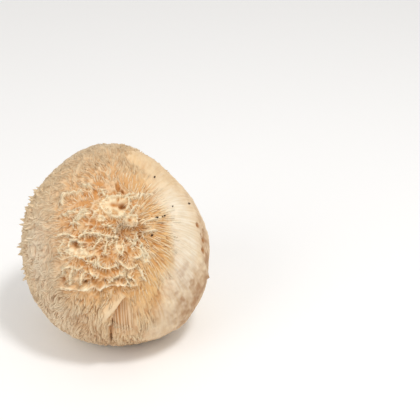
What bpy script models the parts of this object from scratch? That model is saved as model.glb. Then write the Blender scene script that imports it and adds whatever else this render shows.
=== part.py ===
"""Lion's mane mushroom, picked and cut off flat at its foot.

One grown piece in metres, +Z up, with the origin at the centre of the cut it stands on.
The solid reaches the tips of the spines. The face, where the spines part, looks towards -Y and up.
Run with: blender --background --python part.py
"""

import math

import bmesh
import bpy
import numpy as np

# Driving sizes of the head, to the spine tips
FACE_TILT = math.radians(30)  # how far the face looks up from the horizon
FACE_DEPTH = 0.050  # from the middle of the head out to the face
BACK_DEPTH = 0.049  # from the middle of the head to the back
CUT_DEPTH = 0.0042  # how much of the round underside the cut takes off

# Radii of the head round the face, every 30 degrees from its right-hand side by way of the crown
OUTLINE_RADII = (
    0.0545, 0.0522, 0.0532, 0.0578, 0.0560, 0.0538,
    0.0532, 0.0552, 0.0585, 0.0582, 0.0606, 0.0590,
)

# Broad swellings and hollows away from the outline: the turn round the face and the lean towards it,
# in degrees, then the height in metres and the spread in degrees
SWELLINGS = (
    (150, 52, 0.0012, 26),  # left of the parting
    (270, 30, 0.0016, 22),  # lower lip of the face
    (0, -50, 0.0026, 30),  # right rear
    (150, -48, 0.0024, 28),  # left rear
    (75, -58, -0.0020, 22),  # hollow between the rear swellings
)

# Tufts of spines, spread evenly over the head
TUFT_COUNT = 170
TUFT_HEIGHT = 0.0013
TUFT_SPREAD = 0.0048
TUFT_NUDGE = 0.0016

# The fold that parts the two lower lobes, from its peak on the face down under the fringe:
# metres right of and above the middle of the face, and the depth of the fold there
FOLD = (
    (0.0062, -0.0290, 0.0004),
    (0.0026, -0.0380, 0.0026),
    (-0.0016, -0.0470, 0.0044),
    (-0.0028, -0.0560, 0.0052),
)
FOLD_SPREAD = 0.0044  # half width of the fold

# Facets of the solid
SEGMENTS_ROUND = 96
RINGS = 50

RIGHT = np.array((1.0, 0.0, 0.0))
FACING = np.array((0.0, -math.cos(FACE_TILT), math.sin(FACE_TILT)))
UPWARD = np.array((0.0, math.sin(FACE_TILT), math.cos(FACE_TILT)))


def outline_radius(turn):
    """The smooth closed curve through the outline's radii, as a sum of waves round the face."""
    waves = np.fft.rfft(OUTLINE_RADII) / len(OUTLINE_RADII)
    waves[1:-1] *= 2
    orders = np.arange(len(waves))
    return (waves * np.exp(1j * turn[..., None] * orders)).real.sum(axis=-1)


def face_direction(turn, lean):
    """Unit directions in the face frame: right, up the face, out of the face."""
    flat = np.cos(lean)
    return np.stack((np.cos(turn) * flat, np.sin(turn) * flat, np.sin(lean)), axis=-1)


def bell(shares, middle, spread):
    """1 at the middle direction, fading off as a bell with the angle from it."""
    angle = np.arccos(np.clip(shares @ middle, -1.0, 1.0))
    return np.exp(-((angle / spread) ** 2))


def tuft_directions():
    """Directions spread evenly over a ball by the golden angle, each then nudged off its place."""
    step = np.arange(TUFT_COUNT) + 0.5
    even = face_direction(step * math.pi * (3 - math.sqrt(5)), np.arcsin(1 - 2 * step / TUFT_COUNT))
    nudged = even + np.random.default_rng(7).normal(0.0, TUFT_NUDGE / FACE_DEPTH, even.shape)
    return nudged / np.linalg.norm(nudged, axis=1, keepdims=True)


def fold_depth(shares):
    """Its depth at the nearest point of the fold's line, fading off as a bell to each side."""
    size = np.mean(OUTLINE_RADII)
    points = []
    for right, up, depth in FOLD:
        out = math.sqrt(max(size**2 - right**2 - up**2, 0.0))
        points.append((np.array((right, up, out)) / size, depth))
    deepest = np.zeros(len(shares))
    for (start, depth_start), (end, depth_end) in zip(points, points[1:]):
        along = end - start
        share = np.clip((shares - start) @ along / (along @ along), 0.0, 1.0)
        gap = np.linalg.norm(shares - start - share[:, None] * along, axis=1) * size
        depth = depth_start + (depth_end - depth_start) * share
        deepest = np.maximum(deepest, depth * np.exp(-((gap / FOLD_SPREAD) ** 2)))
    return deepest


def head_radius(directions):
    """Distance from the middle of the head to its surface in each direction.

    Half an ellipsoid over the outline to the face and half to the back, then the swellings and
    the tufts added and the fold taken off.
    """
    shares = directions @ np.stack((RIGHT, UPWARD, FACING), axis=1)
    outline = outline_radius(np.arctan2(shares[:, 1], shares[:, 0]))
    depth = np.where(shares[:, 2] > 0, FACE_DEPTH, BACK_DEPTH)
    radius = 1.0 / np.hypot(np.hypot(shares[:, 0], shares[:, 1]) / outline, shares[:, 2] / depth)
    for turn, lean, height, spread in SWELLINGS:
        middle = face_direction(math.radians(turn), math.radians(lean))
        radius += height * bell(shares, middle, math.radians(spread))
    tufts = np.zeros(len(shares))
    for middle in tuft_directions():
        tufts = np.maximum(tufts, bell(shares, middle, TUFT_SPREAD / FACE_DEPTH))
    return radius + TUFT_HEIGHT * (tufts - 1.0) - fold_depth(shares)


def clear_scene():
    for obj in list(bpy.data.objects):
        bpy.data.objects.remove(obj, do_unlink=True)


def new_collection(name):
    collection = bpy.data.collections.new(name)
    bpy.context.scene.collection.children.link(collection)
    return collection


def object_of(name, shape, collection):
    mesh = bpy.data.meshes.new(name)
    shape.to_mesh(mesh)
    shape.free()
    obj = bpy.data.objects.new(name, mesh)
    collection.objects.link(obj)
    return obj


def flesh_material():
    material = bpy.data.materials.new("cream_flesh")
    material.use_nodes = True
    shader = material.node_tree.nodes["Principled BSDF"]
    shader.inputs["Base Color"].default_value = (0.80, 0.66, 0.47, 1.0)
    shader.inputs["Roughness"].default_value = 0.75
    shader.inputs["Metallic"].default_value = 0.0
    return material


def make_head(collection):
    """A ball pushed out to the head's radius in each direction, the middle of its foot at the origin."""
    shape = bmesh.new()
    bmesh.ops.create_uvsphere(shape, u_segments=SEGMENTS_ROUND, v_segments=RINGS, radius=1.0)
    directions = np.array([vertex.co for vertex in shape.verts])
    directions /= np.linalg.norm(directions, axis=1, keepdims=True)
    places = directions * head_radius(directions)[:, None]
    places[:, 2] -= places[:, 2].min() + CUT_DEPTH
    foot = places[places[:, 2] < 0.0, :2]
    middle = -(foot.min(axis=0) + foot.max(axis=0)) / 2
    places[:, :2] += middle
    for vertex, place in zip(shape.verts, places):
        vertex.co = place
    head = object_of("mushroom_head", shape, collection)
    head.data.shade_smooth()
    return head


def make_knife(collection):
    """The block below the ground plane that takes the foot off."""
    shape = bmesh.new()
    bmesh.ops.create_cube(shape, size=0.3)
    bmesh.ops.translate(shape, verts=shape.verts, vec=(0.0, 0.0, -0.15))
    knife = object_of("foot_knife", shape, collection)
    knife.hide_render = True
    knife.display_type = "WIRE"
    return knife


def main():
    clear_scene()
    head = make_head(new_collection("lions_mane_mushroom"))
    head.data.materials.append(flesh_material())
    cut = head.modifiers.new("foot_cut", "BOOLEAN")
    cut.operation = "DIFFERENCE"
    cut.solver = "EXACT"
    cut.object = make_knife(new_collection("cutters"))


main()
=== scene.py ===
# Lion's mane mushroom: the flesh and its spines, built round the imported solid.
# Sizes are in metres unless a note says mm. Directions are right, up the face and out of the face.
from itertools import product
from math import cos, pi, radians, sin, sqrt

import bpy
import numpy as np
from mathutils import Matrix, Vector


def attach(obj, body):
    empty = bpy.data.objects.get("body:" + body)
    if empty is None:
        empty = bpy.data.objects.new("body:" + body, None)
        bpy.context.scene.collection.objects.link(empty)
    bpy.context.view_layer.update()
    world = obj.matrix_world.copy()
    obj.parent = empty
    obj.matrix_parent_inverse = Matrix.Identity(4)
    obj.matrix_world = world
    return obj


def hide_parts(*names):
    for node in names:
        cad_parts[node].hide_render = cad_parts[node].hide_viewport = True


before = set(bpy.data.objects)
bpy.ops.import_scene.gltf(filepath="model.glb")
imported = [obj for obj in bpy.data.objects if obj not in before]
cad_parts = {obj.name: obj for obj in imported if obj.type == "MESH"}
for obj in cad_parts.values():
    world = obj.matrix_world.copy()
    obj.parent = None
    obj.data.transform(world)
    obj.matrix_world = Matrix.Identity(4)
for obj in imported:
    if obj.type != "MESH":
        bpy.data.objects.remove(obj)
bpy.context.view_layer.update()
print("frame loaded")

mm = 0.001

# The smooth head, in mm but for its middle
head = {
    "middle": (-2.92 * mm, 7.20 * mm, 51.71 * mm),
    "faceTilt": radians(30),
    # radii round the face, every 30 degrees
    "outline": (54.5, 52.2, 53.2, 57.8, 56.0, 53.8, 53.2, 55.2, 58.5, 58.2, 60.6, 59.0),
    "toFace": 50.0,
    "toBack": 49.0,
    "halfWide": 56.0,  # of the face
    "halfHigh": 58.0,
    "radius": 53,  # the usual one, which turns mm along the surface into angles
    "spineCover": 1.8,  # the flesh lies this far inside the solid
    # turn round the face, lean towards it, height, spread in degrees
    "swellings": (
        (150, 52, 1.2, 26),
        (270, 30, 1.6, 22),
        (0, -50, 2.6, 30),
        (150, -48, 2.4, 28),
        (75, -58, -2.0, 22),
    ),
    "whorl": (8.5, 10.5),  # where the spines part, right and up on the face
    "root": (0.0, -0.70, -0.714),  # the direction that the spines comb down to
    "unevenness": ((0.6, 4.5), (0.2, 9)),  # height, and how many waves in a radius
}

farOff = 200  # mm, for what faces back and so isn't on the face

middle = np.array(head["middle"])
axes = np.array([
    (1.0, 0.0, 0.0),
    (0.0, sin(head["faceTilt"]), cos(head["faceTilt"])),
    (0.0, -cos(head["faceTilt"]), sin(head["faceTilt"])),
])


# a / |a| along the last axis
def unit(a):
    return a / np.maximum(np.linalg.norm(a, axis=-1, keepdims=True), 1e-12)


# 0 below low, 1 above high, and 3t^2 - 2t^3 between
def ramp(x, low, high):
    t = np.clip((x - low) / (high - low), 0.0, 1.0)
    return t * t * (3 - 2 * t)


# exp(-(x / half)^2)
def bell(x, half):
    return np.exp(-((x / half) ** 2))


# Smooth noise in space, from about -1 to 1: slopes drawn for the corners of a unit grid, blended with
# 6t^5 - 15t^4 + 10t^3
def noise(points, seed):
    draw = np.random.default_rng(seed)
    slopes = unit(draw.normal(size=(256, 3)))
    order = draw.permutation(256)
    cell = np.floor(points).astype(np.int64)
    part = points - cell
    fade = part ** 3 * (part * (part * 6 - 15) + 10)
    total = np.zeros(points.shape[:-1])
    for corner in product((0, 1), repeat=3):
        x, y, z = np.moveaxis((cell + corner) & 255, -1, 0)
        slope = slopes[order[(order[(order[x] + y) & 255] + z) & 255]]
        weight = np.where(corner, fade, 1 - fade).prod(axis=-1)
        total += weight * ((part - corner) * slope).sum(axis=-1)
    return total * 1.6


# start + swing * noise, held between low and high
def uneven(d, start, swing, scale, seed, low, high):
    return np.clip(start + swing * noise(d * scale, seed), low, high)


# The direction of the place this far right of and above the middle of the face, in mm: it lies on a half
# ellipsoid over the face
def facePoint(x, y):
    flat = (x / head["halfWide"]) ** 2
    out = head["toFace"] * np.sqrt(np.maximum(1 - flat - (y / head["halfHigh"]) ** 2, 0.02))
    return unit(np.stack((x + 0 * out, y + 0 * out, out), axis=-1))


# Direction to that place on the face, the other way round; far off for what faces back
def facePlace(d):
    wide, high, deep = d[..., 0] / head["halfWide"], d[..., 1] / head["halfHigh"], d[..., 2] / head["toFace"]
    size = np.sqrt(wide ** 2 + high ** 2 + deep ** 2)
    return d[..., 0] / size + farOff * (d[..., 2] < 0), d[..., 1] / size


# A bell round a place on the face: exp(-(a/wide)^2 - (b/high)^2), a and b in mm along the surface,
# turned by this many degrees
def patch(d, x, y, wide, high, turn=0.0):
    out = facePoint(x, y)
    side = unit(np.cross((0.0, 1.0, 0.0), out))
    up = np.cross(out, side)
    a, b = head["radius"] * (d @ side), head["radius"] * (d @ up)
    c, s = cos(radians(turn)), sin(radians(turn))
    near = np.exp(-(((a * c + b * s) / wide) ** 2) - ((b * c - a * s) / high) ** 2)
    return near * (d @ out > 0)


# Radius of the smooth head in mm: waves through the outline's radii, half ellipsoids to the face and to
# the back, and a bell added for each swelling
def headRadius(d):
    waves = np.fft.rfft(head["outline"]) / len(head["outline"])
    waves[1:-1] *= 2
    turn = np.arctan2(d[..., 1], d[..., 0])
    outline = sum((wave * np.exp(1j * order * turn)).real for order, wave in enumerate(waves))
    depth = np.where(d[..., 2] > 0, head["toFace"], head["toBack"])
    radius = 1 / np.hypot(np.hypot(d[..., 0], d[..., 1]) / outline, d[..., 2] / depth)
    for turn, lean, height, spread in head["swellings"]:
        turn, lean = radians(turn), radians(lean)
        at = np.array((cos(turn) * cos(lean), sin(turn) * cos(lean), sin(lean)))
        angle = np.arccos(np.clip(d @ at, -1, 1))
        radius = radius + height * bell(angle, radians(spread))
    return radius - head["spineCover"]


# Growth coordinates. The head is laid flat from the root's opposite side, where the spines' lines become
# rays from the whorl, so lean is 2 atan of the distance from the whorl and turn is the ray's angle.
rootward = unit(np.array(head["root"]))
whorl = facePoint(*head["whorl"])
flatRight = np.array((1.0, 0.0, 0.0))
flatUp = np.cross(-rootward, flatRight)
flatScale = (1 - whorl @ rootward) / 2


# (d.right + i d.up) / (1 - d.root)
def flatten(d):
    return (d @ flatRight + 1j * (d @ flatUp)) / np.maximum(1 - d @ rootward, 1e-9)


flatWhorl = flatten(whorl)


# Direction to growth coordinates
def growth(d):
    ray = (flatten(d) - flatWhorl) * flatScale
    return 2 * np.arctan(np.abs(ray)), np.angle(ray)


# Growth coordinates to direction: the flattening undone
def direction(lean, turn):
    ray = np.tan(np.minimum(lean, pi - 1e-6) / 2) / flatScale * np.exp(1j * turn) + flatWhorl
    size = np.abs(ray) ** 2
    flat = ray.real[..., None] * flatRight + ray.imag[..., None] * flatUp
    return (2 * flat - (1 - size)[..., None] * rootward) / (1 + size)[..., None]


# The unit tangent along the spines' lines, from the whorl to the root, by a small step of lean
def combed(d):
    lean, turn = growth(d)
    ahead = direction(np.minimum(lean + 0.01, pi - 0.001), turn)
    behind = direction(np.maximum(lean - 0.01, 0.0), turn)
    along = ahead - behind
    return unit(along - (along * d).sum(axis=-1, keepdims=True) * d)


# All places are mm right of and above the middle of the face
marks = {
    # the inner edge of the smooth flank, from the top down
    "flankEdge": (
        (6, 58), (8.6, 55.5), (12.8, 45.4), (22.0, 32.9), (27.7, 23.2), (31.4, 14.6), (32.6, 3.5),
        (31.7, -7.2), (28.9, -20.3), (25.9, -28.1), (21.4, -37.6), (15.6, -47.3), (10, -58),
    ),
    # the long crest across the face
    "terrace": (
        (-27.6, -22.7), (-20.6, -22.8), (-15.0, -23.2), (-11.5, -23.0), (-7.4, -21.5), (-3.8, -23.4),
        (-1.0, -21.0), (7.4, -20.4), (18.7, -20.4),
    ),
    # the left and right edges of the opening between the two lower lobes, and the pale lip on its left
    "fold": ((9.7, -24.7), (5.4, -31.6), (3.3, -36.2), (0.1, -41.3), (0.4, -44.9), (-0.2, -52.7)),
    "rightEdge": ((9.7, -24.7), (11.8, -28.3), (14.4, -32.3), (15.8, -37.6), (15.8, -45.5)),
    "lip": ((9.3, -25.2), (5.5, -30.0), (1.0, -34.9), (-2.9, -38.6), (-6.4, -42.5)),
    "fringe": ((0.3, -41.8), (3.6, -43.4), (7.2, -43.9), (11.4, -43.3)),
    # the small pointed flap on the right rim
    "flap": ((50.1, -7.7), (51.8, -11.8), (52.3, -18.0)),
    # pale smooth bits of flesh: place, half width, half height, turn, how far they stand out
    "calm": (
        (3.3, 22.6, 7.2, 4.4, 0, 0.7), (-14.6, -2.6, 6.8, 1.9, -6, 0.6), (12.4, 14.4, 3.7, 3.2, 0, 0.5),
        (6.3, -0.5, 1.9, 2.6, 0, 0.6), (5.2, 17.4, 4.2, 1.9, 0, 0.9), (-11.5, -23.0, 2.5, 1.6, 0, 0.9),
        (19.6, -5.0, 1.7, 3.8, 18, 0.7), (-2.8, 15.2, 1.7, 1.5, 0, 0.5),
    ),
    # pits: place, half width, half height, turn, depth
    "pits": (
        (7.7, 22.4, 2.7, 2.2, 0, 3.6), (3.4, 22.8, 3.0, 1.7, 0, 1.5), (-16.6, 1.4, 2.5, 1.9, 40, 2.4),
        (-24.5, -18.0, 2.3, 1.1, 60, 1.8), (-12.2, -19.0, 1.5, 0.8, 60, 1.8), (12.4, 14.7, 1.7, 1.4, 0, 1.0),
        (7.6, 30.6, 1.3, 1.0, -50, 1.8), (50.6, 11.7, 2.2, 1.5, 0, 0.8), (53.5, 2.8, 2.2, 1.5, 0, 0.8),
        (52.3, -2.8, 2.2, 1.5, 0, 0.8),
    ),
    # brown stains, and painted shade in the pits and in the dark gaps along the right rim: place, size,
    # strength
    "stainsAndShade": (
        (50.6, 11.7, 1.4, 0.9), (53.8, 8.6, 1.0, 1.0), (53.5, 2.8, 1.4, 1.0), (52.3, -2.8, 1.4, 1.0),
        (53.5, -5.8, 1.0, 1.0), (52.3, 5.8, 0.9, 0.8), (44.3, -20.7, 2.0, 0.4), (38.3, -28.6, 1.5, 0.4),
        (35.6, -25.3, 1.2, 0.35), (45.3, -29.4, 1.5, 0.45), (24.2, -39.3, 1.3, 0.4), (39.3, -14.9, 2.2, 0.3),
        (42.3, -10.9, 1.9, 0.25), (-40.7, -33.4, 0.8, 0.7), (-35.6, -36.6, 0.7, 0.7), (17.7, 9.6, 3.4, 0.5),
        (9.3, 9.6, 4.2, 0.5), (8.2, 21.8, 1.5, 0.9), (-16.6, 1.4, 1.6, 0.6), (-24.5, -18.0, 1.2, 0.6),
        (-12.2, -19.0, 1.0, 0.8), (7.6, 30.6, 0.9, 0.7),
    ),
    # wide soft brown stains, partly browning and partly painted shade along the bottom, the lower right and
    # the right rim: place, half width, half height, turn, strength
    "wideStainsAndShade": (
        (42, -33, 20, 22, 30, 0.65), (8, -57, 40, 9, 0, 0.50), (54.5, -4, 8, 28, 0, 0.8),
        (30, 44, 22, 16, 0, 0.15),
    ),
    # dark specks: place, size
    "specks": (
        (25.9, 40.1, 0.6), (27.0, 16.3, 0.85), (24.4, 6.3, 0.75), (46.6, 25.2, 0.6), (32.0, 17.5, 0.45),
        (36.3, 22.9, 0.4), (4.7, 55.5, 0.5), (30.3, 16.7, 0.4),
    ),
}


# Mm to the right of the smooth flank's inner edge, counted on round the rim to the back
def beyondEdge(d):
    x, y = facePlace(d)
    behind = d[..., 2] < 0
    roundRim = np.where(behind, 2 * head["halfWide"] - np.abs(x - farOff * behind), x)
    edges, heights = np.array(marks["flankEdge"])[::-1].T
    return roundRim - np.interp(y, heights, edges) + farOff * (behind & (x < farOff))


# The combed flank and the strip of laid strands between it and the core: where each fades in and out, in mm
# beyond the flank's inner edge, where it ends upwards and downwards, in shares of the radius, and the waves
# and the seed of its bends
strips = {
    "flank": {"start": (-2, 6), "end": (48, 72), "top": (0.88, 1.0), "foot": (0.86, 0.98), "bend": (5, 11)},
    "beside": {"start": (-16, -9), "end": (0, 6), "top": (0.66, 0.8), "foot": (0.62, 0.78), "bend": (6, 12)},
    "bendSize": 4,  # mm
}


# How much of a strip: ramps up across its start and down across its end, its top and its foot
def strip(d, name):
    own = strips[name]
    waves, seed = own["bend"]
    beyond = beyondEdge(d) + strips["bendSize"] * noise(d * waves, seed)
    across = ramp(beyond, *own["start"]) * (1 - ramp(beyond, *own["end"]))
    return across * (1 - ramp(d[..., 1], *own["top"])) * (1 - ramp(-d[..., 1], *own["foot"]))


# Regions of the coat, 0 to 1
def regions(d):
    smooth = strip(d, "flank")
    rough = 1 - smooth
    return {
        "smooth": smooth,
        "core": rough * np.minimum(patch(d, -2, 9, 26, 33) * 1.7, 1.0),
        "left": rough * patch(d, -42, -4, 22, 40),
        "crown": rough * patch(d, -6, 52, 36, 18),
        "skirt": rough * ramp(-d[..., 1], 0.45, 0.72),
        "back": rough * ramp(-d[..., 2], -0.1, 0.35),
        "beside": strip(d, "beside"),
    }


# A start value, and what each region adds to it
def byRegion(start, more, part):
    for name, amount in more.items():
        start = start + amount * part[name]
    return start


# Hollows between crests over the whole head
clumps = {
    "count": 1150,
    "nudge": 0.030,
    "warp": 0.045,
    # how many times longer the hollows are along the spines' lines than across them
    "stretch": {"skirt": 3.0, "left": 1.4},
    "stretchPlain": 1.3,
    "stretchLaid": 3.4,
    # how high the crests stand, mm
    "high": {"core": 0.9, "left": 0.35, "crown": -0.1},
    "highPlain": 0.4,
}

# The ragged crests of the core: right, up, right, up, and so on
crests = (
    (-24.3, 22.3, -24.4, 26.4, -23.1, 28.4, -18.9, 28.9, -13.6, 29.2),
    (-14, 33.6, -12.5, 32, -10.5, 32.2, -8.6, 31),
    (-3, 30.2, -2, 27.8, 0.5, 26.9),
    (-2.5, 24.2, -1.1, 25.5, 2.1, 26.5, 6, 27.1, 9.3, 27.5, 11.3, 25.9, 11.6, 22.9, 10.5, 20.2),
    (11.5, 25.8, 14.7, 27.2, 19.9, 28.6, 25.1, 30),
    (9.4, 26.3, 12, 28.5, 14.7, 29, 18.1, 28.9),
    (-3.6, 22.7, -2.6, 20.5, -0.6, 18.1, 2.1, 17.5),
    (2.4, 18.6, 2.2, 16.8, 4.5, 15.8, 7.7, 16.2, 9.3, 18.2, 9.6, 19.9),
    (
        9.8, 15.7, 12.9, 17, 15.9, 16.6, 16.3, 14.2,
        15.7, 11.5, 13.5, 11, 9.2, 11.5, 8.4, 13.6, 9.8, 15.7,
    ),
    (-4.4, 15.9, -2.6, 16.7, -1, 15.4, -1.5, 14, -3.9, 13.8),
    (-22.5, 16.5, -20.1, 17.9, -15.4, 18.9, -10.7, 19.5),
    (-17.2, 13.2, -14.6, 16.5, -12, 18.5, -9.9, 19.2),
    (-15.2, 13.9, -13.7, 16, -11.3, 17.5, -9, 18),
    (-18.5, 12.3, -16.5, 13.1, -14.4, 12),
    (-7.6, 15.9, -6.1, 18, -4.5, 19.5),
    (-1.7, 11.4, 0.6, 11.5, 2.7, 10.1, 5.3, 9),
    (4.5, 7.5, 5.6, 9.6, 6.3, 11.6, 7.9, 12.5),
    (-14.4, 5, -12.8, 6.5, -10.5, 7.3, -7.2, 7.7, -4.6, 7, -3.1, 5.9),
    (-10.8, 7.2, -10.9, 8.9),
    (-8.1, 7.6, -7.2, 9.5),
    (-4.2, 7, -1.2, 6.3, 2, 5.7, 6.2, 5),
    (-26.8, 6, -23.3, 6.8, -19.7, 6.5, -16.9, 5.2),
    (-19.9, -1.7, -20.2, 1.5, -18.5, 3.5, -15.7, 4, -13.7, 2.1, -13.4, -1),
    (-22, -2.4, -18.6, -4.3, -13.9, -5.5, -9.2, -4.8, -7.1, -4),
    (-7.2, -0.8, -5.8, 1.1, -4.2, 3.1, -3.1, 5),
    (-0.5, -2.9, -0.2, 0.3, 0.4, 3.1, -0.3, 5),
    (7.9, -3.6, 5.9, -1.6, 5.2, 1, 5.5, 3.1),
    (7.9, -3.6, 8.8, -1.5, 8.2, 1.8),
    (13.5, -1, 14.9, 1.7, 15.9, 5, 15.6, 7.7),
    (18.2, 2, 17.5, -0.3, 18.9, -3, 19.8, -5.7, 20.1, -8.2),
    (20.1, -8.2, 21.4, -7.5, 21.7, -4.3, 20.1, -1.8, 18.2, 2),
    (18.9, 12.9, 21.1, 14.1, 25, 15.1, 29.2, 16.2),
    (18.9, 5.7, 19.1, 7.5, 21.5, 8.3, 25.5, 9),
    (14.9, -5.5, 18.1, -4.9, 18.8, -2.9),
    (-5.9, -6.8, -4.9, -8.8, -2.7, -10.7, 0.6, -11.1, 3.3, -10.7, 5.9, -9.3),
    (-3.9, -5.4, -4.2, -8, -3.2, -10.5),
    (7.1, -7.4, 8.8, -9.5, 11.1, -11, 13.6, -11, 16.2, -9.4),
    (-8.7, -13.4, -7.2, -14.7, -4.6, -16.1),
    (-23.8, -14.4, -23, -11.1, -20, -10.6, -15.3, -12.1, -13.1, -10.7),
    (-20.2, -20.1, -19.4, -14.8, -18.1, -12.1),
    (-13.9, -20, -13.3, -14.7, -11.3, -13.3),
    (1.1, -19.3, 3.9, -16.6, 7.1, -14.7, 9.7, -13.9, 12.2, -15.9, 14.7, -17.9),
    (10.3, -16.7, 12.1, -20),
    (17.9, -12, 18.5, -14.7, 20.3, -17.9),
    (14.9, 1.1, 12.4, 3.7, 10.4, 5),
    (1.3, 1.1, 3.3, 2.4, 3.9, 3.7),
    (-10.5, -7.4, -7.2, -8, -5.8, -9.3),
    (-24.9, -4.3, -25.5, -1, -23.3, 2.3),
    (18.9, 22.7, 14.9, 21.8, 12.9, 19),
)

# The same as straight pieces
crestLines = [np.reshape(line, (-1, 2)).astype(float) for line in crests]
crestStarts = np.concatenate([line[:-1] for line in crestLines])
crestEnds = np.concatenate([line[1:] for line in crestLines])


# Even places over the ball, each nudged: a golden-angle spiral
def evenPlaces(draw, count, nudge):
    step = np.arange(count) + 0.5
    height = 1 - 2 * step / count
    turn = step * pi * (3 - sqrt(5))
    flat = np.sqrt(1 - height ** 2)
    even = np.stack((flat * np.cos(turn), flat * np.sin(turn), height), axis=-1)
    return unit(even + draw.normal(0, nudge, even.shape))


seeds = evenPlaces(np.random.default_rng(3), clumps["count"], clumps["nudge"])


# The nearest place on straight pieces laid on the face: how far it is in mm, the way to it right and up,
# the share of the piece before it, the side on which the direction lies (left along the piece is positive)
# and the piece's number
def nearestPiece(d, starts, ends):
    x, y = facePlace(d)
    best = [np.full(x.shape, 300.0)] + [np.zeros(x.shape) for _ in range(4)]
    best.append(np.zeros(x.shape, dtype=np.int64))
    for k, (start, way) in enumerate(zip(starts, ends - starts)):
        t = np.clip(((x - start[0]) * way[0] + (y - start[1]) * way[1]) / (way @ way), 0, 1)
        goX, goY = start[0] + t * way[0] - x, start[1] + t * way[1] - y
        found = (np.hypot(goX, goY), goX, goY, t, np.sign(goX * way[1] - goY * way[0]), k)
        closer = found[0] < best[0]
        best = [np.where(closer, new, old) for new, old in zip(found, best)]
    return best


# The same for one line: distance, share of the line before the nearest place, and side
def lineNear(d, name):
    line = np.array(marks[name], dtype=float)
    lengths = np.linalg.norm(np.diff(line, axis=0), axis=1)
    near, _, _, share, side, piece = nearestPiece(d, line[:-1], line[1:])
    before = np.concatenate(([0.0], np.cumsum(lengths)))[piece]
    return near, (before + share * lengths[piece]) / lengths.sum(), side


# A way on the face as a unit tangent at the direction
def tangent(d, wayX, wayY):
    way = np.stack((wayX, wayY, 0 * wayX), axis=-1)
    return unit(way - (way * d).sum(axis=-1, keepdims=True) * d)


# The nearest of the core's crests: distance in mm, unit tangent towards it and the place along it in mm,
# looked for only near the core
def coreCrest(d):
    x, y = facePlace(d)
    rows = (np.abs(x) < 34) & (np.abs(y - 8) < 38)
    near, toward, along = np.full(d.shape[:-1], 50.0), np.zeros(d.shape), np.zeros(d.shape[:-1])
    found, wayX, wayY, share, _, piece = nearestPiece(d[rows], crestStarts, crestEnds)
    lengths = np.linalg.norm(crestEnds - crestStarts, axis=1)
    near[rows], toward[rows] = found, tangent(d[rows], wayX, wayY)
    along[rows] = (np.cumsum(lengths) - lengths)[piece] + share * lengths[piece]
    return near, toward, along


# How many times longer the hollows are along the spines' lines than across them
def stretch(part):
    plain = clumps["stretchPlain"] + clumps["stretchLaid"] * np.maximum(part["beside"], part["smooth"])
    return byRegion(plain, clumps["stretch"], part)


# The two nearest seeds to each direction, with gaps along the spines' lines counted short. Gives how far
# the crest between them is, in mm, and the unit tangent towards it.
def crestNear(d):
    flatD = d.reshape(-1, 3)
    bend = np.stack([noise(flatD * 6, 20 + i) + 0.45 * noise(flatD * 17, 24 + i) for i in range(3)], axis=-1)
    places = unit(flatD + clumps["warp"] * bend)
    gap = np.empty(len(flatD))
    toward = np.empty((len(flatD), 3))
    squeeze = 1 - 1 / stretch(regions(flatD)) ** 2
    lines = combed(places)
    for first in range(0, len(flatD), 8000):
        rows = slice(first, first + 8000)
        here, line = places[rows], lines[rows]
        square = 2 - 2 * here @ seeds.T
        alongGap = line @ seeds.T - (line * here).sum(axis=1)[:, None]
        square = square - squeeze[rows, None] * alongGap ** 2
        nearest = np.argpartition(square, 2, axis=1)[:, :2]
        two = np.take_along_axis(square, nearest, axis=1)
        nearest = np.where((two[:, :1] > two[:, 1:]), nearest[:, ::-1], nearest)
        two = np.sqrt(np.maximum(np.sort(two, axis=1), 0))
        apart = seeds[nearest[:, 1]] - seeds[nearest[:, 0]]
        apart -= (apart * here).sum(axis=1)[:, None] * here
        gap[rows] = head["radius"] * (two[:, 1] - two[:, 0]) / 2
        toward[rows] = unit(apart)
    return gap.reshape(d.shape[:-1]), toward.reshape(d.shape)


# Crests between the hollows and grooves between laid strands: widths, heights and depths in mm
hollows = {"crestWide": 0.75, "whiteWide": 0.5, "grooveWide": 0.40, "sunk": 0.28, "bank": 0.25, "deep": 0.9}


# Bells of crest along the hollows' edges, their height broken up by noise. Where the coat is laid in
# strands, bells of groove take their place.
def hollowRelief(d, part, gap):
    broken = 0.72 + 1.2 * noise(d * 8, 31) + 0.8 * noise(d * 34, 32)
    laid = np.maximum(part["beside"], part["smooth"])
    laid = np.maximum(laid, ramp(part["skirt"] + 0.5 * part["left"], 0.0, 0.5))
    size = np.clip(byRegion(clumps["highPlain"], clumps["high"], part) * broken, 0.1, 3.0) * (1 - laid)
    groove = bell(gap, hollows["grooveWide"])
    cut = laid * (1 - ramp(beyondEdge(d), -2, 11)) * uneven(d, 0.8, 0.7, 7, 33, 0.1, 1.4)
    crest = size * (bell(gap, hollows["crestWide"]) - hollows["sunk"])
    height = crest + cut * (hollows["bank"] - (hollows["deep"] + 0.4 * part["skirt"]) * groove)
    white = 0.5 * bell(gap, hollows["whiteWide"]) * np.clip(size / 1.2, 0, 1)
    upper = ramp(facePlace(d)[1], -20, 12)
    # tan over the laid strands, and painted shade down the grooves between them
    tanAndShade = cut * (0.10 + 0.20 * part["beside"] * upper) + 0.45 * cut * groove
    return height, white, tanAndShade


# Ridges along the spines' lines: how many across, the push that bends them, and their seed
ridges = {
    "coarse": {"scale": 18, "pushScale": 4, "push": 0.4, "seed": 41},
    "fine": {"scale": 42, "pushScale": 6, "push": 0.5, "seed": 43},
    "high": 0.10,  # mm, of the coarse ones
    "highSmooth": 0.20,  # what the smooth flank adds
    "highFine": 0.12,  # of the fine ones, on the smooth flank
}


# 1 - 2 |noise of the spines' line|, the line pushed by a slower noise
def ridge(d, ray, name):
    own = ridges[name]
    push = noise(d * own["pushScale"], own["seed"])[..., None] * own["push"]
    return 1 - 2 * np.abs(noise(ray * own["scale"] + push, own["seed"] + 1))


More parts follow.
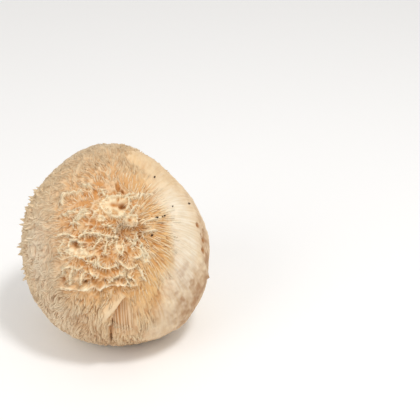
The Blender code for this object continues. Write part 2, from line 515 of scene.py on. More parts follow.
# Height with both kinds of ridge added
def addRidges(d, part, height):
    lean, turn = growth(d)
    ray = np.stack((np.cos(turn), np.sin(turn), 0.3 * lean), axis=-1)
    size = ridges["high"] + ridges["highSmooth"] * part["smooth"]
    height = height + size * ridge(d, ray, "coarse") * ramp(lean, 0.2, 0.6)
    return height + ridges["highFine"] * part["smooth"] * ridge(d, ray, "fine")


# The core's ragged crests: heights and widths in mm
ragged = {
    "edgeHigh": 1.1,
    "edgeWide": 0.5,
    "slopeHigh": 1.3,
    "slopeWide": 1.6,
    "sunk": 0.35,
    "whiteWide": 0.45,
    "pleatApart": 1.5,
    "pleatHigh": 0.55,
    "pleatOut": 1.4,  # from the crest to where the pleats are deepest
    "pleatWide": 2.0,
}


# A bell of edge on an exponential slope, jagged by noise, with cosine pleats down its sides. The crests
# whiten, and the ground between them turns tan, partly its own colour and partly painted shade, with painted
# shade in the pleats' troughs.
def addCoreCrests(d, part, gap, height, white, tanAndShade):
    near, _, place = coreCrest(d)
    core, reached = part["core"], near < 40
    jagged = np.clip(0.85 + 1.1 * noise(d * 20, 36) + 0.4 * noise(d * 50, 37), 0.15, 1.7)
    edge = ragged["edgeHigh"] * bell(near, ragged["edgeWide"])
    rise = edge + ragged["slopeHigh"] * np.exp(-near / ragged["slopeWide"]) - ragged["sunk"]
    height = height + jagged * rise * core ** 0.3 * reached
    white = np.maximum(white, bell(near, ragged["whiteWide"]) * np.minimum(0.4 + jagged, 1))
    valley = core * (1 - bell(near, 1.1)) * (1 - 0.4 * bell(gap, hollows["crestWide"]))
    ground = 0.85 * core * (1 - bell(near, 0.6))
    tanAndShade = np.maximum(np.maximum(tanAndShade, ground), valley * uneven(d, 0.90, 1.1, 7, 34, 0, 1))
    pleat = 0.5 + 0.5 * np.cos(2 * pi * (place / ragged["pleatApart"] + 0.9 * noise(d * 10, 39)))
    pleated = core * bell(near - ragged["pleatOut"], ragged["pleatWide"]) * reached
    height = height + ragged["pleatHigh"] * pleated * (pleat - 0.5)
    tanAndShade = np.clip(tanAndShade + 0.6 * pleated * (0.35 - pleat), 0, 1)
    return height, np.maximum(white, 0.35 * pleated * pleat ** 2), tanAndShade


terrace = {"high": 1.1, "wide": 0.6, "white": 0.7, "step": 1.0, "stepWide": 4, "trough": 1.0, "troughAt": 2.8}


# The long crest: a bell of ragged edge, with an exponential step below it and a bell of trough above
def addTerrace(d, height, white, tanAndShade):
    near, share, side = lineNear(d, "terrace")
    ends = ramp(share, 0.0, 0.06) * (1 - ramp(share, 0.85, 1.0)) * (near < 20)
    edge = ends * uneven(d, 0.9, 1.0, 20, 35, 0.3, 1.4)
    below = side < 0
    step = -terrace["step"] * np.exp(-near / terrace["stepWide"]) * ramp(near, 0, 1.0)
    trough = -terrace["trough"] * bell(near - terrace["troughAt"], 1.5)
    height = height + ends * np.where(below, step, trough)
    height = height + edge * terrace["high"] * bell(near, terrace["wide"])
    white = np.maximum(white, edge * bell(near, terrace["white"]))
    # painted shade in a band below the step, under the crest
    return height, white, np.maximum(tanAndShade, 0.6 * ends * below * bell(near - 1.8, 1.2))


opening = {"deep": 3.6, "wide": 6, "flute": 0.9, "fluteApart": 1.5, "notch": 3, "notchWide": 0.9, "brow": 0.8}


# The opening between the lower lobes: sunk exponentially from its left edge, with cosine flutes on its
# floor, a notch along the lower part of that edge and a low brow over the right one
def addOpening(d, height, white, tanAndShade):
    x, y = facePlace(d)
    near, share, side = lineNear(d, "fold")
    nearRight, _, sideRight = lineNear(d, "rightEdge")
    inside = ramp(near * side, 0.0, 1.0) * ramp(-nearRight * sideRight, 0.0, 6.0) * ramp(y, -51, -43)
    inside = inside * (near < 40)
    wander = 1.1 * noise(np.stack((x / 2.5, 0 * x, 0.02 * y), axis=-1), 38)
    flute = 0.5 - 0.5 * np.cos(2 * pi * (x + wander) / opening["fluteApart"])
    sunk = opening["deep"] * np.exp(-near / opening["wide"]) + opening["flute"] * (1 - flute)
    height = height * (1 - 0.8 * inside) - inside * sunk
    # the opening's floor turns tan, darker in the flutes' troughs: partly its own colour, partly painted
    # shade
    tanAndShade = np.maximum(tanAndShade * (1 - inside), inside * (0.28 + 0.6 * (1 - flute)))
    white = np.maximum(white * (1 - inside), 0.4 * inside * flute)
    notch = bell(near, opening["notchWide"]) * ramp(share, 0.62, 0.75)
    height = height - opening["notch"] * notch
    height = height + opening["brow"] * bell(nearRight, 0.7) * (y > -38) * (x < 12)
    # the notch is painted dark as shade
    return height, white, np.maximum(tanAndShade, notch)


edges = {"lipHigh": 1.3, "lipSteep": 1.6, "lipWide": 3.0, "lipTrough": 0.5, "flapHigh": 1.8, "flapWide": 1.1}


# The smooth lip, steep to the opening and a bell on its other side with a trough behind; and the flap
def addEdges(d, height, white):
    near, share, side = lineNear(d, "lip")
    fade = ramp(share, 0.0, 0.05) * (1 - 0.7 * ramp(share, 0.6, 1.0))
    steep = np.exp(-((near / edges["lipSteep"]) ** 4))
    lip = np.where(side > 0, steep, bell(near, edges["lipWide"])) * fade
    trough = edges["lipTrough"] * fade * bell(near - 3.6, 1.2) * (side < 0)
    height = height * (1 - 0.7 * lip) + edges["lipHigh"] * lip - trough
    white = np.maximum(white, 0.4 * lip)
    near, share, _ = lineNear(d, "flap")
    flap = bell(near, edges["flapWide"]) * (0.4 + 0.6 * share)
    return height + edges["flapHigh"] * flap, np.maximum(white, flap)


# Bells of calm flesh standing out, and of pits sunk in
def addCalmAndPits(d, height, white, tanAndShade):
    for x, y, wide, high, tilt, out in marks["calm"]:
        calm = np.minimum(1.6 * patch(d, x, y, wide, high, tilt), 1) * uneven(d, 0.8, 1.0, 22, 37, 0, 1)
        height = height * (1 - 0.7 * calm) + out * calm
        white, tanAndShade = np.maximum(white, 0.8 * calm), tanAndShade * (1 - 0.9 * calm)
    for x, y, wide, high, tilt, deep in marks["pits"]:
        pit = patch(d, x, y, wide, high, tilt) ** 1.5
        height = height - deep * pit
        # painted shade in each pit, which also loses its white
        white, tanAndShade = white * (1 - pit), np.maximum(tanAndShade, 1.2 * pit)
    return height, white, tanAndShade


# Height of the flesh over the smooth head in mm, its white, and its tan with painted shade in the hollows:
# each feature in turn, then a slow unevenness
def fleshShape(d, gap):
    part = regions(d)
    height, white, tanAndShade = hollowRelief(d, part, gap)
    height = addRidges(d, part, height)
    height, white, tanAndShade = addCoreCrests(d, part, gap, height, white, tanAndShade)
    height, white, tanAndShade = addTerrace(d, height, white, tanAndShade)
    height, white, tanAndShade = addOpening(d, height, white, tanAndShade)
    height, white = addEdges(d, height, white)
    height, white, tanAndShade = addCalmAndPits(d, height, white, tanAndShade)
    for seed, (high, waves) in enumerate(head["unevenness"], 51):
        height = height + high * noise(d * waves, seed)
    return height, np.clip(white, 0, 1), np.clip(tanAndShade, 0, 1)


# Where no spine grows: the lip, the opening beside it, the calm bits and the pits
def bare(d):
    near, share, _ = lineNear(d, "lip")
    free = 1.0 * ((near < 2.2) & (share < 0.8))
    near, _, side = lineNear(d, "fold")
    nearRight, _, sideRight = lineNear(d, "rightEdge")
    between = (near < 40) & (side > 0) & (sideRight < 0) & (nearRight > 1.0)
    free = np.maximum(free, between & (facePlace(d)[1] > -47))
    for kind, most, low, high in (("calm", 0.8, 0.2, 0.5), ("pits", 1.0, 0.1, 0.4)):
        for *place, _ in marks[kind]:
            free = np.maximum(free, most * ramp(patch(d, *place), low, high))
    return free


paleness = {
    "smooth": 0.60,
    "smoothTop": -0.2,
    "regions": {"left": 0.95, "crown": 0.30, "skirt": 0.30},
    "back": 0.5,
    # a paler band down the smooth flank, which is a painted highlight: place, half width, half height, and
    # how pale
    "band": (42, 4, 10, 26),
    "bandPale": 0.6,
}


# What the material needs to know of a place, 0 to 1: how white it is and how much tan and painted shade it
# has, as given, how pale by its region and the painted highlight down the flank, and how brown by bells of
# stain and painted shade broken up with noise
# region, and how stained by bells of stain broken up with noise
def coatValues(d, white, tanAndShade):
    part = regions(d)
    upward, backward = d[..., 1], -d[..., 2]
    smoothPale = paleness["smooth"] + paleness["smoothTop"] * ramp(upward, 0.45, 0.75)
    pale = byRegion(smoothPale * part["smooth"], paleness["regions"], part)
    rough = (1 - part["smooth"]) * (1 - 0.7 * part["skirt"])
    pale = pale + paleness["back"] * ramp(backward, -0.45, 0.05) * rough
    # the painted highlight down the flank
    pale = pale + paleness["bandPale"] * np.minimum(1.5 * patch(d, *paleness["band"]), 1) * part["smooth"]
    # wide brown stains with painted shade, broken up with noise, then the small stains and the painted shade
    # of pits and rim gaps
    stainAndShade = sum(strength * patch(d, *place) for *place, strength in marks["wideStainsAndShade"])
    stainAndShade = stainAndShade * (0.9 + 0.8 * noise(d * 10, 71) + 0.5 * noise(d * 30, 73))
    blotch = 1.6 + 1.2 * noise(d * 24, 72)
    for x, y, size, strength in marks["stainsAndShade"]:
        stainAndShade = stainAndShade + strength * ramp(blotch * patch(d, x, y, 1.3 * size, 1.3 * size), 0.2, 1.1)
    values = {"white": white, "tanAndShade": tanAndShade, "pale": pale, "stainAndShade": stainAndShade}
    return {key: np.clip(value, 0, 1) for key, value in values.items()}


# Points of the surface: middle + axes * d * (radius + height), kept above the cut
def surfacePoint(d, height):
    points = middle + mm * (d * (headRadius(d) + height)[..., None]) @ axes
    points[..., 2] = np.maximum(points[..., 2], 0.0)
    return points


# An object of this mesh or light in the scene
def addObject(name, data):
    obj = bpy.data.objects.new(name, data)
    bpy.context.scene.collection.objects.link(obj)
    return obj


# A mesh of triangles, with values given per point and places in the map given per corner
def newMesh(name, points, faces, values, cornerUV, smooth):
    mesh = bpy.data.meshes.new(name)
    mesh.vertices.add(len(points))
    mesh.vertices.foreach_set("co", points.astype(np.float32).ravel())
    mesh.loops.add(faces.size)
    mesh.loops.foreach_set("vertex_index", faces.astype(np.int32).ravel())
    mesh.polygons.add(len(faces))
    mesh.polygons.foreach_set("loop_start", np.arange(len(faces), dtype=np.int32) * faces.shape[1])
    mesh.update(calc_edges=True)
    if smooth:
        mesh.shade_smooth()
    for key, value in values.items():
        isVector = value.ndim == 2 and value.shape[-1] == 3
        kind, field = ("FLOAT_VECTOR", "vector") if isVector else ("FLOAT", "value")
        data = mesh.attributes.new(key, kind, "POINT").data
        data.foreach_set(field, value.astype(np.float32).ravel())
    mesh.uv_layers.new(name="OFBake").data.foreach_set("uv", cornerUV.astype(np.float32).ravel())
    return addObject(name, mesh)


flesh = {
    "around": 480,
    "faceRows": 160,
    "backRows": 44,
    "faceLean": 1.2,  # the lean at which the face's close rows end
    "crowding": 1.2,  # of the face's rows towards the whorl
}


# The triangles of the flesh's grid: two to each cell, a fan at the whorl and a fan at the root
def fleshTriangles(around, rows):
    row, column = np.meshgrid(np.arange(rows - 1), np.arange(around), indexing="ij")
    a = 1 + row * around + column
    b = 1 + row * around + (column + 1) % around
    quads = np.stack((a, a + around, b + around, b), axis=-1).reshape(-1, 4)
    here = np.arange(around)
    after = (here + 1) % around
    lastRow = 1 + (rows - 1) * around
    fan = np.stack((np.zeros_like(here), 1 + here, 1 + after), axis=-1)
    rootFan = np.stack((lastRow + after, lastRow + here, np.full_like(here, 1 + rows * around)), axis=-1)
    return np.concatenate((quads[:, [0, 1, 2]], quads[:, [0, 2, 3]], fan, rootFan))


# The flesh: a grid of growth coordinates, its first row at the whorl and its last at the root
def makeFlesh():
    around, faceRows = flesh["around"], flesh["faceRows"]
    lean = np.concatenate((
        flesh["faceLean"] * (np.arange(1, faceRows) / faceRows) ** flesh["crowding"],
        np.linspace(flesh["faceLean"], pi, flesh["backRows"] + 1)[:-1],
    ))
    turn = 2 * pi * np.arange(around) / around
    d = direction(*np.meshgrid(lean, turn, indexing="ij"))
    d = np.concatenate((whorl[None], d.reshape(-1, 3), rootward[None]))
    gap, _ = crestNear(d)
    height, white, tanAndShade = fleshShape(d, gap)
    tris = fleshTriangles(around, len(lean))
    u = np.concatenate(([0.5], np.tile(np.arange(around) / around, len(lean)), [0.5]))
    v = np.concatenate(([0.0], np.repeat(lean / pi, around), [1.0]))
    uv = np.stack((u[tris], v[tris]), axis=-1)
    wraps = (uv[:, :, 0].max(axis=1) - uv[:, :, 0].min(axis=1)) > 0.5
    uv[:, :, 0] += wraps[:, None] & (uv[:, :, 0] < 0.25)
    leans, turns = growth(d)
    comb = np.stack((np.cos(turns), np.sin(turns), 0.12 * leans), axis=-1)
    values = {"along": np.zeros(len(d)), "tint": np.full(len(d), 0.5), "high": height, "comb": comb}
    values.update(coatValues(d, white, tanAndShade))
    return newMesh("flesh", surfacePoint(d, height), tris, values, uv, True)


# The spines: lengths, widths and heights in mm
coat = {
    "tried": 76000,  # places tried over the ball
    "nudge": 0.6,  # in usual gaps between places
    "stations": 5,
    "sides": 3,
    "shape": ((0, 0.35, 0.8, 1), (0.8, 1.0, 0.62, 0.0)),  # share of the length, share of the width
    "perPiece": 8000,
    # a start value, and what each region adds
    "chance": (0.34, {"core": -0.20, "left": 0.10, "crown": 0.30}),
    "length": (2.6, {"core": -0.6, "crown": 2.0, "left": 4.4, "skirt": 5.5, "beside": 6.0, "back": 3.5}),
    "thick": (
        0.27,
        {"core": -0.03, "beside": 0.06, "skirt": 0.26, "left": 0.08, "crown": -0.04, "back": 0.12},
    ),
    "rise": (0.7, {"core": -0.1, "crown": -0.2}),
    "swirl": (0.5, {"core": 0.4, "left": 0.7}),
    # how flat the spines lie
    "laid": {"beside": 1.0, "skirt": 0.85, "left": 0.7, "back": 0.6},
}


# A family of spines rooted at d, with zeros for what isn't given
def family(d, **given):
    spines = {"root": d, "heading": np.zeros((len(d), 3)), "toward": np.zeros((len(d), 3))}
    for key in ("pull", "length", "thick", "rise", "swirl", "laid", "pale", "dark"):
        spines[key] = np.zeros(len(d))
    spines.update(given)
    return spines


# The coat: each even place is kept by the chance of its region, and its spine is pulled to the nearest crest
def coatSpines(draw):
    tried = coat["tried"] // 1
    d = evenPlaces(draw, tried, coat["nudge"] * sqrt(4 * pi / tried))
    part = regions(d)
    chance = byRegion(*coat["chance"], part) * (1 - 0.8 * part["beside"])
    chance = chance * (1 - ramp(part["smooth"], 0.05, 0.4)) * (1 - bare(d)) * (1 - 0.3 * part["skirt"])
    above = surfacePoint(d, np.zeros(len(d)))[:, 2] > 1.5 * mm
    d = d[(draw.random(len(d)) < chance) & above]
    count, part = len(d), regions(d)
    gap, toward = crestNear(d)
    near, aim, _ = coreCrest(d)
    closer = near < gap + 3.0
    gap, toward = np.where(closer, near, gap), np.where(closer[:, None], aim, toward)
    laid = np.max([share * part[name] for name, share in coat["laid"].items()], axis=0)
    locks = laid * np.exp(-gap / 1.2)
    return family(
        d,
        toward=toward,
        pull=(1 - laid) * np.minimum(gap + draw.uniform(-0.5, 0.5, count), 4.0) - 1.7 * locks,
        length=byRegion(*coat["length"], part) * draw.uniform(0.65, 1.35, count),
        thick=byRegion(*coat["thick"], part) * draw.uniform(0.7, 1.3, count),
        rise=byRegion(*coat["rise"], part) * (1 - 0.9 * laid) * draw.uniform(0.2, 1.7, count),
        swirl=byRegion(*coat["swirl"], part) * (1 - 0.9 * part["beside"]) * (1 - 0.4 * part["skirt"]),
        laid=laid,
        pale=0.7 * (draw.random(count) < 0.5) * part["core"],
    )


# Straight strands beside the core: how many rays they lie on, and where each starts on its ray
strands = {"rays": 118, "starts": (0.20, 0.32, 0.44, 0.56, 0.68), "kept": 0.85}


# Rows of rays from the whorl, a spine at each start, kept by chance where the coat is laid in strands
def strandSpines(draw):
    rays = (np.arange(strands["rays"]) + 0.5) / strands["rays"] * 2 * pi
    lean, turn = (grid.ravel() for grid in np.meshgrid(strands["starts"], rays))
    lean, turn = lean + draw.uniform(-0.06, 0.06, len(lean)), turn + draw.normal(0, 0.006, len(turn))
    d = direction(lean, turn)
    d = d[(regions(d)["beside"] > 0.25) & (draw.random(len(d)) < strands["kept"]) & (bare(d) < 0.5)]
    count = len(d)
    return family(
        d,
        length=draw.uniform(6.0, 9.5, count),
        thick=draw.uniform(0.34, 0.54, count),
        rise=draw.uniform(0.05, 0.35, count),
        swirl=np.full(count, 0.12),
        laid=np.ones(count),
        pale=draw.uniform(0.1, 0.6, count),
    )


# Pointed tufts on the left: how many over the ball, and the strip that is kept, in degrees round from the
# face and shares of the radius up
tufts = {"tried": 1610, "each": 6, "middle": 92, "halfStrip": 36, "foot": -0.42, "top": 0.60, "kept": 0.75}


# Even places in the strip, with the spines of each tuft scattered round it and leaning to share one tip
def tuftSpines(draw):
    at = evenPlaces(draw, tufts["tried"], coat["nudge"] * sqrt(4 * pi / tufts["tried"]))
    roundLeft = np.degrees(np.arctan2(-at[:, 0], at[:, 2]))
    inStrip = (np.abs(roundLeft - tufts["middle"]) < tufts["halfStrip"]) & (at[:, 1] > tufts["foot"])
    at = at[inStrip & (at[:, 1] < tufts["top"])]
    at = at[draw.random(len(at)) < tufts["kept"]]
    at = np.repeat(at, tufts["each"], axis=0)
    count = len(at)
    line = combed(at)
    across = np.cross(at, line)
    a, b = draw.normal(0, 0.55, (2, count))
    off = a[:, None] * across + b[:, None] * line
    return family(
        unit(at + off / head["radius"]),
        toward=unit(-off),
        pull=np.hypot(a, b),
        length=np.full(count, 1.2),
        thick=0.42 * draw.uniform(0.8, 1.2, count),
        rise=np.repeat(draw.uniform(1.6, 3.4, count // tufts["each"]), tufts["each"]),
        pale=np.full(count, 0.1),
    )


# Hairs along the core's crests, teeth across them and a fringe over the opening: how many, and the ranges of
# length, width, rise and paleness
hairs = {
    "hairs": (420, (1.6, 4.2), (0.16, 0.28), (0.0, 0.5), (0.8, 1.0)),
    "teeth": (460, (1.4, 3.2), (0.15, 0.22), (0.0, 0.4), (0.7, 1.0)),
    "fringe": (60, (2.0, 4.0), (0.28, 0.42), (0.0, 0.6), (0.0, 0.3)),
}


# The lean of a hair off its piece: hairs run along the crest either way, teeth stand to the side that
# changes every three pieces, and the fringe hangs down
def hairLean(draw, name, piece):
    if name == "hairs":
        return pi * (draw.random(len(piece)) < 0.5) + draw.normal(0, 0.6, len(piece))
    if name == "teeth":
        return pi / 2 + pi * (piece // 3 % 2) + draw.normal(0, 0.4, len(piece))
    return -pi / 2 + draw.normal(0, 0.25, len(piece))


# Hairs rooted evenly along straight pieces on the face, heading along each piece turned by a random lean
def hairsAlong(draw, starts, ends, name):
    count, *ranges = hairs[name]
    lengths = np.linalg.norm(ends - starts, axis=1)
    piece = draw.choice(len(starts), count, p=lengths / lengths.sum())
    way = (ends - starts)[piece]
    place = starts[piece] + draw.random((count, 1)) * way + draw.normal(0, 0.22, (count, 2))
    turn = np.arctan2(way[:, 1], way[:, 0]) + hairLean(draw, name, piece)
    d = facePoint(place[:, 0], place[:, 1])
    keys = ("length", "thick", "rise", "pale")
    sizes = {key: draw.uniform(*ends, count) for key, ends in zip(keys, ranges)}
    return family(d, heading=tangent(d, np.cos(turn), np.sin(turn)), swirl=np.full(count, 0.5), **sizes)


# Crumbs of dirt: short thick dark spines, three to a speck, heading anywhere
def crumbs(draw):
    place = np.repeat(np.array(marks["specks"]), 3, axis=0)
    size = place[:, 2]
    d = facePoint(place[:, 0], place[:, 1])
    turn = draw.uniform(0, 2 * pi, len(d))
    return family(
        d,
        heading=tangent(d, np.cos(turn), np.sin(turn)),
        length=0.8 * size,
        thick=0.75 * size,
        rise=0.6 + 0.3 * size,
        dark=np.ones(len(d)),
    )


# Paths of the spines: each steps over the surface along its heading or the combed direction, turned by a
# slow noise and drawn to the crest, while it rises. Gives the stations' points and their colour values.
def spinePaths(spines, draw):
    d = spines["root"].copy()
    count, stations = len(d), coat["stations"]
    own = (spines["heading"] ** 2).sum(axis=1) > 0.5
    path, values = [], []
    for share in np.linspace(0, 1, stations):
        if share > 0:
            line = np.where(own[:, None], spines["heading"], combed(d))
            side = np.cross(d, line)
            wander = 1.6 * noise(d * 7, 61) + 0.8 * noise(d * 15, 62)
            turn = spines["swirl"] * wander + draw.normal(0, 0.05, count)
            go = line * np.cos(turn)[:, None] + side * np.sin(turn)[:, None]
            step = go * spines["length"][:, None] + spines["toward"] * spines["pull"][:, None]
            d = unit(d + step / (stations - 1) / head["radius"])
        gap, _ = crestNear(d)
        height, white, tanAndShade = fleshShape(d, gap)
        lift = spines["rise"] * share ** 1.3 + 0.25 - 0.45 * (1 - share) ** 3
        height = height + lift - spines["laid"] * (0.1 + 0.5 * share ** 2)
        white = np.maximum(white, spines["pale"] + 0.25 * share ** 2 * (spines["pale"] > 0.1))
        # the spines take the tan and painted shade of the place they lie over, less of it towards their tips
        look = coatValues(d, white, tanAndShade * (1.0 - 0.5 * share))
        values.append({"high": height, "speck": spines["dark"], **look})
        path.append(surfacePoint(d, height))
    values = {key: np.stack([value[key] for value in values], axis=1) for key in values[0]}
    return np.stack(path, axis=1), values


# One spine's faces and the corners of its map: two triangles to each side of each band from the root, one
# to each side at the tip, and the root's cap. A corner at side i of station k is point k * sides + i.
def spinePattern():
    sides, last = coat["sides"], coat["stations"] - 2
    corners = []
    for k in range(last):
        corners += [((i, k), (i + 1, k), (i + 1, k + 1)) for i in range(sides)]
        corners += [((i, k), (i + 1, k + 1), (i, k + 1)) for i in range(sides)]
    corners += [((i, last), (i + 1, last), (i + 0.5, last + 1)) for i in range(sides)]
    side, station = np.moveaxis(np.array(corners), -1, 0)
    faces = np.where(station > last, (last + 1) * sides, station * sides + side % sides).astype(np.int64)
    faces = np.concatenate((faces, [(0, 2, 1)]))
    corners.append(((0.2, -0.6), (1.4, -0.6), (0.8, -0.2)))
    return faces, (0.06, 0.18) + np.array(corners) / (sides, last + 1) * (0.88, 0.78)


# All spines in one table, family after family
def allSpines(draw):
    fringe = np.array(marks["fringe"])
    families = [
        coatSpines(draw),
        strandSpines(draw),
        tuftSpines(draw),
        hairsAlong(draw, crestStarts, crestEnds, "hairs"),
        hairsAlong(draw, crestStarts, crestEnds, "teeth"),
        crumbs(draw),
        hairsAlong(draw, fringe[:-1], fringe[1:], "fringe"),
    ]
    return {key: np.concatenate([each[key] for each in families]) for key in families[0]}


# Tubes along the paths: a ring of corners round each station but the tip
def spineTubes(path, thick):
    sides = coat["sides"]
    share = np.linspace(0, 1, coat["stations"])
    along = np.gradient(path, axis=1)
    side = unit(np.cross(along, unit(path - middle)))
    over = unit(np.cross(along, side))
    width = thick[:, None] * np.interp(share[:-1], *coat["shape"]) * mm
    angle = 2 * pi * np.arange(sides) / sides + pi / sides - pi / 2
    ring = np.cos(angle)[:, None] * side[:, :-1, None] + np.sin(angle)[:, None] * over[:, :-1, None]
    rings = path[:, :-1, None] + ring * width[:, :, None, None]
    points = np.concatenate((rings.reshape(len(path), -1, 3), path[:, -1:]), axis=1)
    points[..., 2] = np.maximum(points[..., 2], 0.0)
    return points


# The spines in pieces of a few thousand, the face's first, each spine with a cell of its own in the map
def makeSpines():
    draw = np.random.default_rng(5)
    spines = allSpines(draw)
    count, stations, sides = len(spines["root"]), coat["stations"], coat["sides"]
    print("spines:", count)
    path, values = spinePaths(spines, draw)
    print("spines laid")
    points = spineTubes(path, spines["thick"])
    values["along"] = np.repeat(np.linspace(0, 1, stations)[None], count, axis=0)
    values["tint"] = np.repeat(draw.random(count)[:, None], stations, axis=1)
    faces, corners = spinePattern()
    order = np.lexsort((spines["root"][:, 0], spines["root"][:, 2] < -0.1))
    pieces = []
    for number, first in enumerate(range(0, count, coat["perPiece"])):
        rows = order[first:first + coat["perPiece"]]
        index = np.arange(len(rows))
        cells = int(np.ceil(np.sqrt(len(rows))))
        cell = np.stack((index % cells, index // cells), axis=-1)
        uv = (cell[:, None, None] + corners) / cells
        tris = (index[:, None, None] * points.shape[1] + faces).reshape(-1, 3)
        perPoint = {}
        for key, value in values.items():
            rings, tips = np.repeat(value[rows, :-1], sides, axis=1), value[rows, -1:]
            perPoint[key] = np.concatenate((rings, tips), axis=1)
        pieces.append(newMesh("spines_%d" % number, points[rows].reshape(-1, 3), tris, perPoint, uv, False))
    return pieces


# sRGB 0-255 to linear
def paint(r, g, b):
    return tuple(((c / 255 + 0.055) / 1.055) ** 2.4 for c in (r, g, b)) + (1.0,)


looks = {
    # the tan of the hollows and the spines' roots: partly their own colour, partly painted shade
    "valley": paint(192, 122, 46),
    "mid": paint(236, 199, 143),
    "tip": paint(255, 238, 204),
    "white": paint(255, 243, 214),
    "pale": paint(244, 235, 217),
    "fibre": paint(229, 212, 184),
    "stainAndShade": paint(158, 106, 56),
    "speck": paint(58, 36, 26),
    "grain": {"Scale": 180.0, "Detail": 3.0},
    "streaks": {"Scale": 34.0, "Detail": 4.0},
    "lift": {"From Min": -1.2, "From Max": 3.2},
    # what brightens the flesh from valley to tip: the roots and low places stay darker and tan, partly their
    # own colour and partly painted shade
    "byAlong": 0.35,
    "byLift": 0.5,
    "byTint": 0.3,
    "byStreaks": 0.45,
    "byGrain": 0.3,
    # how much of each colour is laid over the last
    "most": {"pale": 0.9, "tanAndShade": 0.85, "white": 0.85, "stainAndShade": 0.8},
    "bump": {"Strength": 0.6, "Distance": 0.0006},
    "shader": {
        "Roughness": 0.62,
        "Specular IOR Level": 0.3,
        "Subsurface Weight": 0.05,
        "Subsurface Radius": (1.0, 0.8, 0.6),
        "Subsurface Scale": 0.002,
    },
}


# Values for a node's inputs, by name
def setInputs(node, values):
    for name, value in values.items():
        node.inputs[name].default_value = value


# Colour runs from the tan of the hollows and roots to the cream of the crests and tips, partly painted shade
# low down, then pales on the flank, takes tan and painted shade in the hollows, whitens on crests and browns
# in the stains, the painted shade of pits and rim gaps, and the specks; fine streaks follow the comb
def coatMaterial():
    material = bpy.data.materials.new("mushroomCoat")
    material.use_nodes = True
    nodes, links = material.node_tree.nodes, material.node_tree.links
    shader = nodes["Principled BSDF"]

    def attribute(name, output="Fac"):
        node = nodes.new("ShaderNodeAttribute")
        node.attribute_name = name
        return node.outputs[output]

    # A number or a colour is set, and a socket is linked
    def feed(socket, value):
        if isinstance(value, (int, float, tuple)):
            socket.default_value = value
        else:
            links.new(value, socket)

    def maths(kind, a, b):
        node = nodes.new("ShaderNodeMath")
        node.operation = kind
        node.use_clamp = True
        feed(node.inputs[0], a)
        feed(node.inputs[1], b)
        return node.outputs[0]

    def mix(share, a, b):
        node = nodes.new("ShaderNodeMix")
        node.data_type = "RGBA"
        links.new(share, node.inputs[0])
        feed(node.inputs[6], a)
        feed(node.inputs[7], b)
        return node.outputs[2]

    def texture(values, vector):
        node = nodes.new("ShaderNodeTexNoise")
        setInputs(node, values)
        links.new(vector, node.inputs["Vector"])
        return node.outputs["Fac"]

    place = nodes.new("ShaderNodeTexCoord").outputs["Object"]
    grain = texture(looks["grain"], place)
    streaks = texture(looks["streaks"], attribute("comb", "Vector"))
    lifted = nodes.new("ShaderNodeMapRange")
    setInputs(lifted, looks["lift"])
    links.new(attribute("high"), lifted.inputs["Value"])
    byAlong = maths("MULTIPLY", attribute("along"), looks["byAlong"])
    bright = maths("ADD", byAlong, maths("MULTIPLY", lifted.outputs[0], looks["byLift"]))
    bright = maths("ADD", bright, maths("MULTIPLY", attribute("tint"), looks["byTint"]))
    bright = maths("ADD", bright, maths("MULTIPLY", streaks, looks["byStreaks"]))
    bright = maths("SUBTRACT", maths("ADD", bright, 0.1), maths("MULTIPLY", grain, looks["byGrain"]))
    colour = mix(maths("MULTIPLY", bright, 2.0), looks["valley"], looks["mid"])
    colour = mix(maths("SUBTRACT", maths("MULTIPLY", bright, 2.0), 1.0), colour, looks["tip"])
    paleFibres = mix(maths("MULTIPLY", maths("SUBTRACT", streaks, 0.32), 3.0), looks["fibre"], looks["pale"])
    layers = {"pale": paleFibres, "tanAndShade": looks["valley"], "white": looks["white"], "stainAndShade": looks["stainAndShade"]}
    for name, layer in layers.items():
        colour = mix(maths("MULTIPLY", attribute(name), looks["most"][name]), colour, layer)
    colour = mix(attribute("speck"), colour, looks["speck"])
    links.new(colour, shader.inputs["Base Color"])
    bump = nodes.new("ShaderNodeBump")
    setInputs(bump, looks["bump"])
    links.new(streaks, bump.inputs["Height"])
    links.new(bump.outputs["Normal"], shader.inputs["Normal"])
    setInputs(shader, looks["shader"])
    return material


def makePieces():
    coatLook = coatMaterial()
    pieces = [makeFlesh()]
    print("flesh made")
    pieces += makeSpines()
    for piece in pieces:
        piece.data.materials.append(coatLook)
        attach(piece, "root")
        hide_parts("mushroom_head")
        print(piece.name, "faces", len(piece.data.polygons))
    print("faces in all", sum(len(piece.data.polygons) for piece in pieces))


ground = {"half": 3.0, "shader": {"Base Color": paint(250, 252, 255), "Roughness": 0.6}}


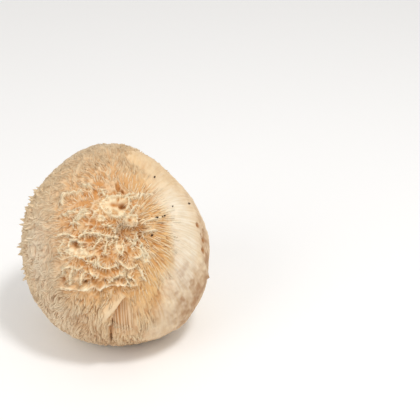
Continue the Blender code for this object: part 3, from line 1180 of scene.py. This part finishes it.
# A square round the origin
def makeFloor():
    mesh = bpy.data.meshes.new("floor")
    half = ground["half"]
    corners = [(-half, -half, 0), (half, -half, 0), (half, half, 0), (-half, half, 0)]
    mesh.from_pydata(corners, [], [(0, 1, 2, 3)])
    material = bpy.data.materials.new("paleFloor")
    material.use_nodes = True
    setInputs(material.node_tree.nodes["Principled BSDF"], ground["shader"])
    mesh.materials.append(material)
    addObject("floor", mesh)


shot = {
    "lens": 90.0,
    "field": 238 * mm,
    "right": 53.9 * mm,
    "up": 19.3 * mm,
    "elevation": radians(30),
}


# The camera looks down at the tilt of the face, aimed so that the head stands left of and below the middle
# of the picture: aim + back * field / sensor width * lens
def makeCamera():
    camera = addObject("camera", bpy.data.cameras.new("camera"))
    camera.data.lens = shot["lens"]
    back = Vector((0, -cos(shot["elevation"]), sin(shot["elevation"])))
    up = Vector((0, sin(shot["elevation"]), cos(shot["elevation"])))
    aim = Vector(head["middle"]) + Vector((shot["right"], 0, 0)) + up * shot["up"]
    distance = shot["field"] / camera.data.sensor_width * shot["lens"]
    camera.location = aim + back * distance
    camera.rotation_euler = (-back).to_track_quat("-Z", "Y").to_euler()
    bpy.context.scene.camera = camera


lamps = {
    "key": {"place": (0.34, -0.26, 1.02), "size": 0.22, "power": 4.7},
    "fill": {"place": (-0.7, -0.6, 0.7), "size": 0.8, "power": 2.8},
}
lampColour = (1.0, 0.975, 0.94)
room = {"Color": (1.0, 0.965, 0.92, 1.0), "Strength": 0.66}


# Round lamps facing the middle of the head, and an even room
def makeLights():
    for name, own in lamps.items():
        light = bpy.data.lights.new(name, "AREA")
        light.shape = "DISK"
        light.size = own["size"]
        light.energy = own["power"]
        light.color = lampColour
        lamp = addObject(name, light)
        lamp.location = own["place"]
        facing = Vector(head["middle"]) - Vector(own["place"])
        lamp.rotation_euler = facing.to_track_quat("-Z", "Y").to_euler()
    world = bpy.data.worlds.new("paleRoom")
    world.use_nodes = True
    setInputs(world.node_tree.nodes["Background"], room)
    bpy.context.scene.world = world
    bpy.context.scene.view_settings.view_transform = "Standard"


makePieces()
makeFloor()
makeLights()
makeCamera()
print("scene ready")
